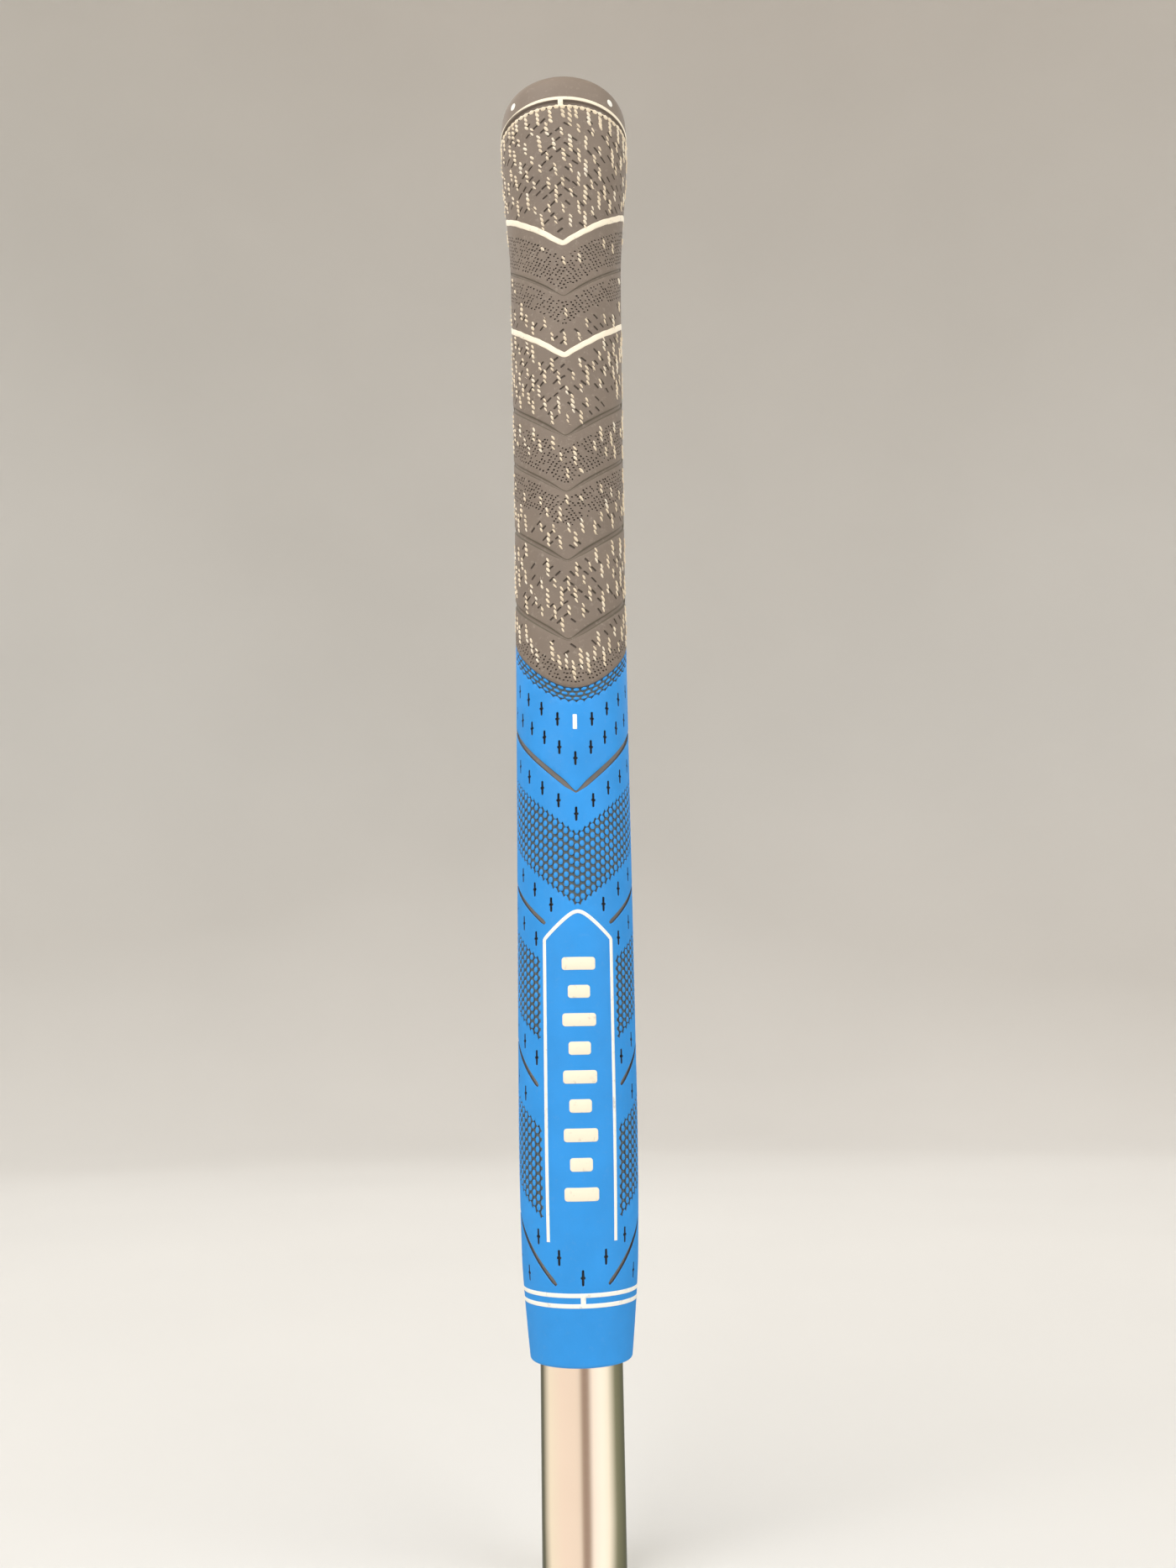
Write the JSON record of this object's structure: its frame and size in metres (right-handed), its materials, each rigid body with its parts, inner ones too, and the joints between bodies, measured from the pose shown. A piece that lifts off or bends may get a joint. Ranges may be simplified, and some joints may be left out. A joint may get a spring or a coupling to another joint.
{
  "type": "golf grip",
  "caption": "Tapered cord golf grip on the butt end of a tubular steel shaft: black corded upper sleeve, blue grooved lower sleeve, painted lines and a vented butt cap.",
  "frame": {"origin": "on the axis at the centre of the shaft's cut end", "axes": "+Z along the shaft axis towards the butt cap, -Y out of the patterned front that faces the player, +X to the right when looking at the front"},
  "size_m": [0.0284, 0.0284, 0.3048],
  "materials": {
    "steel": "satin polished shaft steel",
    "tape": "creped paper tape",
    "charcoal_rubber": "matt core rubber",
    "black_rubber": "matt, slightly dusty",
    "blue_rubber": "satin soft rubber",
    "mesh_rubber": "matt moulded mesh",
    "cotton_cord": "rough cotton cord",
    "white_paint": "matt paint fill"
  },
  "bodies": {
    "root": {"shaft_tube": "steel", "grip_tape": "tape", "core_sleeve": "charcoal_rubber", "cord_layer": "cotton_cord", "upper_sleeve": "black_rubber", "lower_sleeve": "blue_rubber", "end_cap": "black_rubber", "cord_edge_ring": "cotton_cord", "cap_ring_line": "white_paint", "mouth_lines": "white_paint", "mesh_band": "mesh_rubber", "lace_band": "mesh_rubber", "chevron_line_lower": "white_paint", "chevron_line_upper": "white_paint", "cap_dot_right": "white_paint", "mesh_panel_right_upper": "mesh_rubber", "mesh_panel_right_lower": "mesh_rubber", "cap_dot_left": "white_paint", "mesh_panel_left_upper": "mesh_rubber", "mesh_panel_left_lower": "mesh_rubber", "panel_outline_front": "white_paint", "panel_outline_back": "white_paint", "alignment_mark": "white_paint", "panel_bar_1": "white_paint", "panel_bar_2": "white_paint", "panel_bar_3": "white_paint", "panel_bar_4": "white_paint", "panel_bar_5": "white_paint", "panel_bar_6": "white_paint", "panel_bar_7": "white_paint", "panel_bar_8": "white_paint", "panel_bar_9": "white_paint"}
  },
  "joints": []
}
